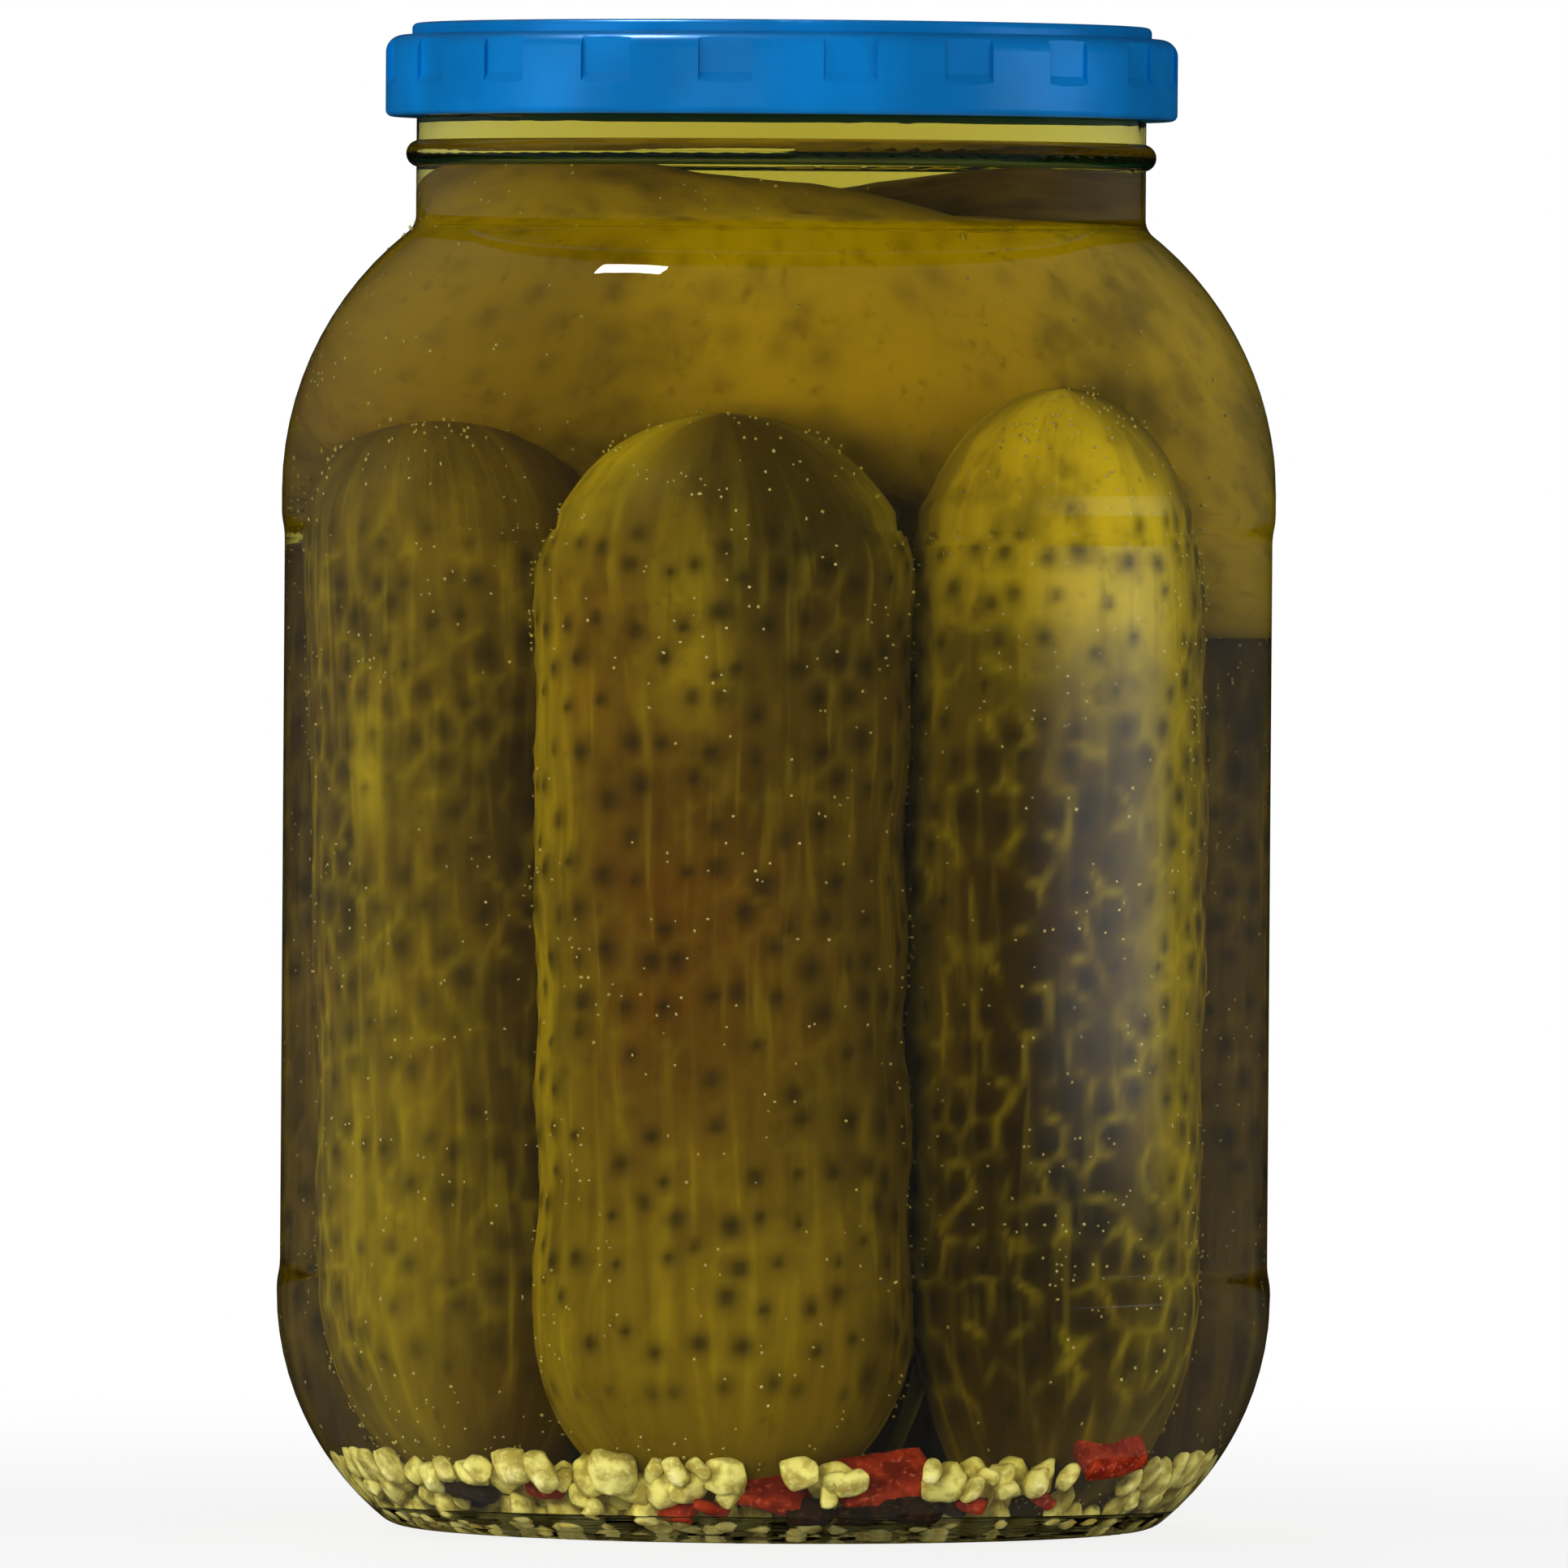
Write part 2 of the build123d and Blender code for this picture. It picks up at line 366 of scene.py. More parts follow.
def floor_height(radius):
    """Height of the glass under the brine at a distance from the axis."""
    middle = sum(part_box("brine")[side].z for side in (0, 1)) / 2
    lower = sorted(pair for pair in BRINE_OUTLINE if pair[1] < middle)
    return np.interp(radius, [pair[0] for pair in lower], [pair[1] for pair in lower])


def wall_radius(height):
    """Radius of the glass round the brine at a height."""
    side = [pair for pair in BRINE_OUTLINE if pair[0] > 0.045]
    side.sort(key=lambda pair: pair[1])
    return np.interp(height, [pair[1] for pair in side], [pair[0] for pair in side])


# Glass


def flint_glass(colour):
    """Flint glass, pressed and blown: clear, colourless, with the faint waviness of a moulded wall."""
    material, tree, output = new_material("flint glass")
    place = add(tree, "ShaderNodeTexCoord").outputs["Object"]
    # Moulding waves about 28 mm long, so slight that they only bend a reflection's edge.
    waves = add(tree, "ShaderNodeTexNoise", {"Vector": place, "Scale": 1 / 0.028, "Detail": 1.0})
    bump = add(
        tree, "ShaderNodeBump", {"Height": waves.outputs[0], "Strength": 0.02, "Distance": 1 * MM}
    )
    surface = add(
        tree,
        "ShaderNodeBsdfPrincipled",
        {
            "Base Color": colour,
            "Roughness": 0.0,
            "IOR": 1.5,
            "Transmission Weight": 1.0,
            "Specular Tint": (0.15, 0.15, 0.15, 1.0),
            "Normal": bump.outputs[0],
        },
    )
    both = lets_lamps_through(tree, surface.outputs[0], (0.97, 0.98, 0.96, 1.0))
    tree.links.new(both, output.inputs["Surface"])
    return material


def pickle_brine(colour, uptake):
    """Vinegar brine with a little oil and turmeric: clear, olive-yellow and darker the deeper one looks."""
    material, tree, output = new_material("pickle brine")
    surface = add(
        tree,
        "ShaderNodeBsdfPrincipled",
        {
            "Base Color": (1.0, 1.0, 1.0, 1.0),
            "Roughness": 0.0,
            "IOR": 1.333,
            "Transmission Weight": 1.0,
            "Specular Tint": (0.05, 0.05, 0.05, 1.0),
        },
    )
    both = lets_lamps_through(tree, surface.outputs[0], colour)
    tree.links.new(both, output.inputs["Surface"])
    depth = add(
        tree, "ShaderNodeVolumeAbsorption", {"Color": (0.77, 0.695, 0.0, 1.0), "Density": uptake}
    )
    tree.links.new(depth.outputs[0], output.inputs["Volume"])
    return material


class PICKLE_OT_glass(bpy.types.Operator):
    """Gives the jar its glass"""

    bl_idname = "pickle_jar.glass"
    bl_label = "Glass"

    def execute(self, context):
        settings = context.scene.pickle_jar.glass
        dress("jar", flint_glass(settings.glass))
        return {"FINISHED"}


class PICKLE_OT_brine(bpy.types.Operator):
    """Fills the jar with brine that reaches just into the wall"""

    bl_idname = "pickle_jar.brine"
    bl_label = "Brine"

    def execute(self, context):
        settings = context.scene.pickle_jar.glass
        turned = BRINE_OUTLINE
        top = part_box("brine")[1].z
        around = 192
        mesh = bpy.data.meshes.new("brine_fill")
        shape = bmesh.new()
        rings = []
        for place, (radius, height) in enumerate(turned):
            before = turned[max(place - 1, 0)]
            after = turned[min(place + 1, len(turned) - 1)]
            along = Vector((after[0] - before[0], after[1] - before[1])).normalized()
            out = Vector((along.y, -along.x)) * settings.reach
            if height > top - FINE:
                out = Vector((settings.reach if radius > FINE else 0.0, 0.0))
            if radius < FINE:
                out.x = 0.0
            ring_radius = radius + out.x
            ring_height = height + out.y
            if ring_radius < FINE:
                rings.append([shape.verts.new((0.0, 0.0, ring_height))])
                continue
            ring = []
            for place_round in range(around):
                turn = 2 * math.pi * place_round / around
                x = ring_radius * math.cos(turn)
                y = ring_radius * math.sin(turn)
                ring.append(shape.verts.new((x, y, ring_height)))
            rings.append(ring)
        for lower, upper in zip(rings, rings[1:]):
            for turn in range(around):
                ahead = (turn + 1) % around
                if len(lower) == 1:
                    shape.faces.new((lower[0], upper[ahead], upper[turn]))
                elif len(upper) == 1:
                    shape.faces.new((lower[turn], lower[ahead], upper[0]))
                else:
                    shape.faces.new((lower[turn], lower[ahead], upper[ahead], upper[turn]))
        bmesh.ops.recalc_face_normals(shape, faces=shape.faces)
        for face in shape.faces:
            face.smooth = True
        for edge in shape.edges:
            if edge.calc_face_angle(0.0) > math.radians(40):
                edge.smooth = False
        shape.to_mesh(mesh)
        shape.free()
        material = pickle_brine(settings.brine, settings.uptake)
        piece = new_piece("brine_fill", mesh, material)
        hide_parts("brine")
        return {"FINISHED"}


# Lid


def blue_lacquer(colour, roughness):
    """Blue lacquer over bright tinplate: the metal glows through the colour, under a glossy clear coat."""
    material, tree, output = new_material("blue lacquered tinplate")
    place = add(tree, "ShaderNodeTexCoord").outputs["Object"]
    # The lacquer runs a little thicker and thinner in patches about 20 mm across.
    cloud = add(tree, "ShaderNodeTexNoise", {"Vector": place, "Scale": 1 / 0.02, "Detail": 3.0})
    # Dust specks and pinholes about 0.4 mm across, some 4 mm apart.
    dust = add(tree, "ShaderNodeTexVoronoi", {"Vector": place, "Scale": 1 / 0.004})
    speck = spread(tree, dust.outputs["Distance"], 0.02, 0.07, 1.0, 0.0)
    lot = add(tree, "ShaderNodeSeparateColor", {0: dust.outputs["Color"]}).outputs[0]
    some = spread(tree, lot, 0.6, 0.75)
    lighter = tuple(min(1.0, part * 1.2) for part in colour[:3]) + (1.0,)
    darker = tuple(part * 0.86 for part in colour[:3]) + (1.0,)
    clouded = mix_colour(tree, spread(tree, cloud.outputs[0], 0.3, 0.7), darker, lighter)
    dusty = mix_colour(tree, maths(tree, "MULTIPLY", speck, some), clouded, linear("9CC4E4"))
    fine = add(tree, "ShaderNodeTexNoise", {"Vector": place, "Scale": 1 / 0.0012, "Detail": 2.0})
    bump = add(
        tree, "ShaderNodeBump", {"Height": fine.outputs[0], "Strength": 0.12, "Distance": 0.05 * MM}
    )
    surface = add(
        tree,
        "ShaderNodeBsdfPrincipled",
        {
            "Base Color": dusty,
            "Metallic": 0.25,
            "Roughness": roughness,
            "Coat Weight": 0.2,
            "Coat Roughness": 0.12,
            "Normal": bump.outputs[0],
        },
    )
    tree.links.new(surface.outputs[0], output.inputs["Surface"])
    return material


class PICKLE_OT_lid(bpy.types.Operator):
    """Gives the lid its lacquer"""

    bl_idname = "pickle_jar.lid"
    bl_label = "Lid"

    def execute(self, context):
        settings = context.scene.pickle_jar.lid
        dress("lid", blue_lacquer(settings.lacquer, settings.roughness))
        return {"FINISHED"}


# Pickles


def wave_noise(places, rng, lengths, count=5):
    """Smooth noise from a few sine waves: places is (n, k), lengths the k wavelengths."""
    total = np.zeros(len(places))
    for _ in range(count):
        direction = rng.normal(size=places.shape[1]) / np.array(lengths)
        total += np.sin(places @ direction * 2 * math.pi + rng.uniform(0, 2 * math.pi))
    return total / math.sqrt(count)


def pickle_mesh(name, start, end, bow, radius, blunt, seed, settings):
    """A pickled cucumber between two points: bowed, lobed, with warts, ridges and blunt ends."""
    rng = np.random.default_rng(seed)
    start = np.array(start) * MM
    end = np.array(end) * MM
    bow = np.array(bow) * MM
    radius *= MM
    length = np.linalg.norm(end - start)
    axis = (end - start) / length
    front = np.array((0.0, -1.0, 0.0))
    front -= axis * (front @ axis)
    front /= np.linalg.norm(front)
    side = np.cross(axis, front)
    rows = int(length / settings.mesh_step)
    columns = int(2 * math.pi * radius / settings.mesh_step)
    # The rows crowd towards both ends, where the skin turns in.
    along = (1 - np.cos(np.linspace(0, math.pi, rows + 2)[1:-1])) / 2 * length
    turn = np.linspace(0, 2 * math.pi, columns, endpoint=False)
    height, angle = (grid.ravel() for grid in np.meshgrid(along, turn, indexing="ij"))
    lower, upper = (part * MM for part in blunt)
    taper = np.ones_like(height)
    low = height < lower
    high = height > length - upper
    taper[low] = np.sqrt(np.clip(1 - (1 - height[low] / lower) ** 2, 0, 1))
    taper[high] = np.sqrt(np.clip(1 - (1 - (length - height[high]) / upper) ** 2, 0, 1))
    lobes = 1 + 0.022 * np.cos(2 * angle + rng.uniform(0, 6)) + 0.02 * np.cos(3 * angle + rng.uniform(0, 6))
    waist = 1 - 0.03 * np.sin(math.pi * height / length + rng.uniform(-0.6, 0.6)) ** 2
    straight = np.column_stack((radius * np.sin(angle), radius * np.cos(angle), height))
    swell = wave_noise(straight, rng, (0.05, 0.05, 0.045))
    # Warts in loose rows along the cucumber, none on its smooth ends.
    gap = settings.wart_gap
    per_ring = max(6, round(2 * math.pi * radius / gap))
    rings = max(3, round((length - 0.02) / gap))
    ring, spot = (grid.ravel() for grid in np.meshgrid(np.arange(rings), np.arange(per_ring)))
    at_angle = (spot + 0.5 * (ring % 2) + rng.uniform(-0.28, 0.28, ring.size)) * 2 * math.pi / per_ring
    at_height = 0.012 + (ring + 0.5 + rng.uniform(-0.32, 0.32, ring.size)) * (length - 0.024) / rings
    kept = rng.random(ring.size) > 0.22
    at_angle, at_height = at_angle[kept], at_height[kept]
    warts = np.column_stack((radius * np.sin(at_angle), radius * np.cos(at_angle), at_height))
    size = rng.uniform(0.9, 1.7, len(warts)) * MM
    nearest = np.empty(len(straight))
    second = np.empty(len(straight))
    which = np.empty(len(straight), int)
    for first in range(0, len(straight), 4096):
        chunk = straight[first : first + 4096]
        away = np.linalg.norm(chunk[:, None, :] - warts[None, :, :], axis=2)
        order = np.argpartition(away, 1, axis=1)[:, :2]
        pair = np.take_along_axis(away, order, axis=1)
        swap = pair[:, 0] > pair[:, 1]
        order[swap] = order[swap][:, ::-1]
        pair.sort(axis=1)
        nearest[first : first + 4096] = pair[:, 0]
        second[first : first + 4096] = pair[:, 1]
        which[first : first + 4096] = order[:, 0]
    bumps = np.exp(-((nearest / size[which]) ** 2))
    net = np.exp(-(((second - nearest) / (1.1 * MM)) ** 2))
    ribs = wave_noise(np.column_stack((angle, height)), rng, (0.28, 0.09), 6)
    end_calm = np.clip(np.minimum(height, length - height) / 0.02, 0, 1)
    broken = np.clip(0.5 + 0.6 * wave_noise(straight, rng, (0.012, 0.012, 0.02), 6), 0, 1)
    wart_shown, net_shown, streak_shown = MARKED.get(name, (0.8, 0.4, 0.7))
    bumps *= wart_shown
    net *= net_shown * broken
    relief = end_calm * (
        settings.wart_height * bumps
        + settings.ridge_height * net
        + 0.12 * MM * ribs * streak_shown * end_calm
    )
    reach = radius * taper * lobes * waist + 0.5 * MM * swell * taper + relief * np.sqrt(taper)
    part = height / length
    curve = start + np.outer(part, end - start) + np.outer(4 * part * (1 - part), bow)
    points = curve + np.outer(np.cos(angle) * reach, front) + np.outer(np.sin(angle) * reach, side)
    tips = (start, end)
    vertices = np.vstack((points, tips))
    faces = []
    for row in range(rows - 1):
        for column in range(columns):
            ahead = (column + 1) % columns
            here = row * columns
            above = here + columns
            faces.append((here + column, here + ahead, above + ahead, above + column))
    last = (rows - 1) * columns
    for column in range(columns):
        ahead = (column + 1) % columns
        faces.append((rows * columns, ahead, column))
        faces.append((rows * columns + 1, last + column, last + ahead))
    mesh = bpy.data.meshes.new(name)
    mesh.from_pydata(vertices.tolist(), [], faces)
    turned = bmesh.new()
    turned.from_mesh(mesh)
    bmesh.ops.recalc_face_normals(turned, faces=turned.faces)
    turned.to_mesh(mesh)
    turned.free()
    mesh.shade_smooth()
    # The patches' amber, pale and dark go on the mesh: the skin's own colour, painted light and painted
    # shade.
    tone = np.zeros((len(straight), 3))
    degrees = (np.degrees(angle) + 180) % 360 - 180
    for at, round_it, half_height, half_width, *strengths in PATCHES[name]:
        across = (degrees - round_it + 180) % 360 - 180
        fade = np.exp(-(((height / MM - at) / half_height) ** 2) - (across / half_width) ** 2)
        tone += np.outer(fade, strengths)
    skin = np.vstack((straight, ((0, 0, 0), (0, 0, length))))
    tone = np.vstack((tone, tone[:1], tone[-1:]))
    marks = {
        "wart": np.append(bumps * end_calm, (0, 0)),
        "net": np.append(net * end_calm, (0, 0)),
        "streak": np.append(streak_shown * (0.25 + 0.75 * end_calm), (0, 0)),
    }
    for label, values in marks.items():
        mesh.attributes.new(label, "FLOAT", "POINT").data.foreach_set("value", values.astype(np.float32))
    for label, values in {"skin": skin, "tone": np.clip(tone, 0, 1)}.items():
        layer = mesh.attributes.new(label, "FLOAT_VECTOR", "POINT")
        layer.data.foreach_set("vector", values.astype(np.float32).ravel())
    return mesh


def pickle_skin(settings):
    """Brined cucumber skin: waxy, olive with amber and yellow patches, ribbed lengthwise and spotted, with
    painted light and painted shade in some patches.
    """
    material, tree, output = new_material("brined cucumber skin")
    skin = add(tree, "ShaderNodeAttribute", attribute_name="skin").outputs["Vector"]
    tone = add(tree, "ShaderNodeAttribute", attribute_name="tone").outputs["Vector"]
    tones = add(tree, "ShaderNodeSeparateXYZ", {0: tone})
    wart = add(tree, "ShaderNodeAttribute", attribute_name="wart").outputs["Fac"]
    net = add(tree, "ShaderNodeAttribute", attribute_name="net").outputs["Fac"]
    streaked = add(tree, "ShaderNodeAttribute", attribute_name="streak").outputs["Fac"]
    # Cloudy patches about 16 mm across.
    cloud = add(
        tree, "ShaderNodeTexNoise", {"Vector": skin, "Scale": 1 / 0.016, "Detail": 4.0, "Roughness": 0.6}
    )
    # Streaks about 1.2 mm wide and 20 mm long, the way the skin grew.
    grown = add(tree, "ShaderNodeMapping", {"Vector": skin, "Scale": (1.0, 1.0, 0.1)}).outputs[0]
    streak = add(
        tree, "ShaderNodeTexNoise", {"Vector": grown, "Scale": 1 / 0.0024, "Detail": 3.0, "Distortion": 0.5}
    )
    # Mottling about 1.5 mm across.
    fleck = add(
        tree, "ShaderNodeTexNoise", {"Vector": skin, "Scale": 1 / 0.0022, "Detail": 3.0, "Roughness": 0.7}
    )
    amber = maths(
        tree, "ADD", tones.outputs["X"], spread(tree, cloud.outputs[0], 0.5, 0.72, 0.0, 0.35)
    )
    colour = mix_colour(tree, amber, settings.olive, settings.amber)
    # Pale patches: the skin's own colour, and painted light where lamps graze the sides.
    pale = maths(tree, "MULTIPLY", tones.outputs["Y"], spread(tree, cloud.outputs[0], 0.3, 0.62, 0.6, 1.0))
    colour = mix_colour(tree, pale, colour, settings.pale)
    # Dark patches: painted shade and the skin's own darker colour, and darker clouds at random.
    shade = maths(tree, "ADD", tones.outputs["Z"], spread(tree, cloud.outputs[0], 0.35, 0.5, 0.3, 0.0))
    colour = mix_colour(tree, maths(tree, "MULTIPLY", shade, 0.8), colour, settings.dark)
    light_streak = spread(tree, streak.outputs[0], 0.5, 0.75, 0.0, 0.3)
    dark_streak = spread(tree, streak.outputs[0], 0.32, 0.5, 0.5, 0.0)
    colour = mix_colour(tree, maths(tree, "MULTIPLY", light_streak, streaked), colour, settings.pale)
    colour = mix_colour(tree, maths(tree, "MULTIPLY", dark_streak, streaked), colour, settings.dark)
    colour = mix_colour(tree, maths(tree, "MULTIPLY", net, 0.35), colour, settings.pale)
    colour = mix_colour(
        tree, spread(tree, fleck.outputs[0], 0.55, 0.75, 0.0, 0.3), colour, settings.dark
    )
    colour = mix_colour(tree, maths(tree, "MULTIPLY", wart, 0.9), colour, settings.wart)
    grain = maths(tree, "MULTIPLY", streak.outputs[0], streaked)
    bump = add(tree, "ShaderNodeBump", {"Height": grain, "Strength": 0.4, "Distance": 0.4 * MM})
    surface = add(
        tree,
        "ShaderNodeBsdfPrincipled",
        {
            "Base Color": colour,
            "Roughness": 0.45,
            "Diffuse Roughness": 1.0,
            "IOR": 1.4,
            "Specular IOR Level": 0.04,
            "Normal": bump.outputs[0],
        },
    )
    tree.links.new(surface.outputs[0], output.inputs["Surface"])
    return material


def beside_wall(azimuth, radius, inwards):
    """Where the axis of an upright pickle stands, in mm, beside the jar's side or in from it."""
    out = max(0.0, wall_radius(0.09) / MM - radius - 0.9 - inwards)
    turn = math.radians(azimuth)
    return out * math.sin(turn), -out * math.cos(turn)


class PICKLE_OT_pickles(bpy.types.Operator):
    """Packs the jar with whole pickles, upright round the wall and lying across the top"""

    bl_idname = "pickle_jar.pickles"
    bl_label = "Pickles"

    def execute(self, context):
        settings = context.scene.pickle_jar.pickles
        material = pickle_skin(settings)
        for name, foot_at, head_at, radius, low, high, foot, head, inwards, seed in UPRIGHT:
            start = (*beside_wall(foot_at, radius, inwards), low)
            end = (*beside_wall(head_at, radius, inwards), high)
            turn = math.radians((foot_at + head_at) / 2)
            bow = min(inwards, 3.0)
            bowed = (bow * math.sin(turn), -bow * math.cos(turn), 0.0)
            mesh = pickle_mesh(name, start, end, bowed, radius, (foot, head), seed, settings)
            new_piece(name, mesh, material)
        for name, start, end, bow, radius, first, last, seed in LYING:
            mesh = pickle_mesh(name, start, end, bow, radius, (first, last), seed, settings)
            new_piece(name, mesh, material)
        return {"FINISHED"}


# Spices and sediment


def scatter_tree():
    """A Geometry Nodes tree that puts an uneven rounded bit on every point, by its turn and size."""
    tree = bpy.data.node_groups.new("uneven bits", "GeometryNodeTree")
    face = tree.interface
    face.new_socket("Points", in_out="INPUT", socket_type="NodeSocketGeometry")
    face.new_socket("Corners", in_out="INPUT", socket_type="NodeSocketInt").default_value = 4
    face.new_socket("Roundness", in_out="INPUT", socket_type="NodeSocketFloat").default_value = 0.6
    face.new_socket("Unevenness", in_out="INPUT", socket_type="NodeSocketFloat").default_value = 1 * MM
    face.new_socket("Grain", in_out="INPUT", socket_type="NodeSocketFloat").default_value = 3 * MM
    face.new_socket("Material", in_out="INPUT", socket_type="NodeSocketMaterial")
    face.new_socket("Bits", in_out="OUTPUT", socket_type="NodeSocketGeometry")
    given = add(tree, "NodeGroupInput").outputs
    corners = given["Corners"]
    cube = add(
        tree,
        "GeometryNodeMeshCube",
        {"Size": (2, 2, 2), "Vertices X": corners, "Vertices Y": corners, "Vertices Z": corners},
    )
    place = add(tree, "GeometryNodeInputPosition").outputs[0]
    ball = add(tree, "ShaderNodeVectorMath", {0: place}, operation="NORMALIZE").outputs[0]
    soft = add(
        tree,
        "ShaderNodeMix",
        {0: given["Roundness"], 4: place, 5: ball},
        data_type="VECTOR",
    )
    bit = add(
        tree, "GeometryNodeSetPosition", {"Geometry": cube.outputs["Mesh"], "Position": soft.outputs[1]}
    )
    turn = add(tree, "GeometryNodeInputNamedAttribute", {"Name": "turn"}, data_type="FLOAT_VECTOR")
    size = add(tree, "GeometryNodeInputNamedAttribute", {"Name": "size"}, data_type="FLOAT_VECTOR")
    placed = add(
        tree,
        "GeometryNodeInstanceOnPoints",
        {
            "Points": given["Points"],
            "Instance": bit.outputs[0],
            "Rotation": turn.outputs[0],
            "Scale": size.outputs[0],
        },
    )
    real = add(tree, "GeometryNodeRealizeInstances", {"Geometry": placed.outputs[0]})
    wide = add(tree, "ShaderNodeMath", {0: 1.0, 1: given["Grain"]}, operation="DIVIDE")
    noise = add(tree, "ShaderNodeTexNoise", {"Scale": wide.outputs[0], "Detail": 1.0})
    centred = add(
        tree, "ShaderNodeVectorMath", {0: noise.outputs["Color"], 1: (0.5, 0.5, 0.5)}, operation="SUBTRACT"
    )
    by_unevenness = {0: centred.outputs[0], "Scale": given["Unevenness"]}
    shift = add(tree, "ShaderNodeVectorMath", by_unevenness, operation="SCALE")
    uneven = add(
        tree, "GeometryNodeSetPosition", {"Geometry": real.outputs[0], "Offset": shift.outputs[0]}
    )
    smooth = add(tree, "GeometryNodeSetShadeSmooth", {"Geometry": uneven.outputs[0]})
    done = add(
        tree,
        "GeometryNodeSetMaterial",
        {"Geometry": smooth.outputs[0], "Material": given["Material"]},
    )
    add(tree, "NodeGroupOutput", {"Bits": done.outputs[0]})
    return tree


def scatter(name, places, turns, sizes, material, values):
    """A piece made of one uneven bit at each place, turned to plain mesh."""
    points = bpy.data.meshes.new(name + "_points")
    points.from_pydata([tuple(place) for place in places], [], [])
    for label, rows in (("turn", turns), ("size", sizes)):
        layer = points.attributes.new(label, "FLOAT_VECTOR", "POINT")
        layer.data.foreach_set("vector", np.array(rows, np.float32).ravel())
    seedbed = bpy.data.objects.new(name + "_points", points)
    bpy.context.scene.collection.objects.link(seedbed)
    tree = bpy.data.node_groups.get("uneven bits") or scatter_tree()
    modifier = seedbed.modifiers.new("bits", "NODES")
    modifier.node_group = tree
    for socket in tree.interface.items_tree:
        if socket.in_out == "INPUT" and socket.name in values:
            modifier[socket.identifier] = values[socket.name]
        if socket.name == "Material":
            modifier[socket.identifier] = material
    seen = seedbed.evaluated_get(bpy.context.evaluated_depsgraph_get())
    mesh = bpy.data.meshes.new_from_object(seen)
    seedbed.modifiers.remove(modifier)
    bpy.data.objects.remove(seedbed)
    bpy.data.meshes.remove(points)
    if not mesh.polygons:
        raise RuntimeError(f"{name} came out empty")
    return new_piece(name, mesh, material)


def vegetable(name, colour, lighter, darker, grain, roughness):
    """Cut vegetable: wet, a little translucent, lighter where it is thin and darker in its pores."""
    material, tree, output = new_material(name)
    place = add(tree, "ShaderNodeTexCoord").outputs["Object"]
    cloud = add(tree, "ShaderNodeTexNoise", {"Vector": place, "Scale": 1 / grain, "Detail": 3.0})
    fibre = add(tree, "ShaderNodeTexNoise", {"Vector": place, "Scale": 4 / grain, "Detail": 2.0})
    base = mix_colour(tree, spread(tree, cloud.outputs[0], 0.35, 0.65), darker, colour)
    base = mix_colour(tree, spread(tree, fibre.outputs[0], 0.55, 0.75, 0.0, 0.6), base, lighter)
    bump = add(
        tree, "ShaderNodeBump", {"Height": fibre.outputs[0], "Strength": 0.3, "Distance": 0.3 * MM}
    )
    surface = add(
        tree,
        "ShaderNodeBsdfPrincipled",
        {
            "Base Color": base,
            "Roughness": roughness,
            "IOR": 1.4,
            "Specular IOR Level": 0.1,
            "Normal": bump.outputs[0],
        },
    )
    tree.links.new(surface.outputs[0], output.inputs["Surface"])
    return material


def pickle_feet():
    """Feet of the upright pickles, in metres: centre, radius, lowest point and blunt length."""
    feet = []
    for _, foot_at, _, radius, low, _, foot, _, inwards, _ in UPRIGHT:
        x, y = beside_wall(foot_at, radius, inwards)
        feet.append((x * MM, y * MM, radius * MM, low * MM, foot * MM))
    return feet


def under_pickles(x, y, feet):
    """Height of the lowest pickle skin over a point, or a large height where there is none."""
    lowest = 1.0
    for centre_x, centre_y, radius, low, foot in feet:
        away = math.hypot(x - centre_x, y - centre_y)
        if away < radius:
            lowest = min(lowest, low + foot * (1 - math.sqrt(1 - (away / radius) ** 2)))
    return lowest


def heap(count, size, rng, taken):
    """Places for bits dropped one by one on the floor of the jar, clear of the pickles."""
    cell = 1 * MM
    reach = 64
    ticks = (np.arange(-reach, reach + 1)) * cell
    grid_x, grid_y = np.meshgrid(ticks, ticks, indexing="ij")
    away = np.hypot(grid_x, grid_y)
    top = floor_height(np.minimum(away, 0.0668))
    feet = pickle_feet()
    for (x, y, z), half in taken:
        near = np.hypot(grid_x - x, grid_y - y) < half * 0.8
        top[near] = np.maximum(top[near], z + 0.3 * half)
    places, sizes = [], []
    tries = 0
    while len(places) < count and tries < 40 * count:
        tries += 1
        half = size * rng.uniform(0.65, 1.2)
        radius = GARLIC_REACH * math.sqrt(rng.uniform(0.02, 1.0))
        turn = rng.uniform(0, 2 * math.pi)
        x, y = radius * math.cos(turn), radius * math.sin(turn)
        near = np.hypot(grid_x - x, grid_y - y) < 0.75 * half
        if not near.any():
            continue
        z = top[near].max() + 0.62 * half
        if z > GARLIC_TOP or radius + 0.9 * half > wall_radius(z) - 0.2 * MM:
            continue
        if z + 0.5 * half > under_pickles(x, y, feet):
            continue
        near = np.hypot(grid_x - x, grid_y - y) < 0.8 * half
        top[near] = np.maximum(top[near], z + 0.45 * half)
        places.append((x, y, z))
        sizes.append(half)
    return places, sizes


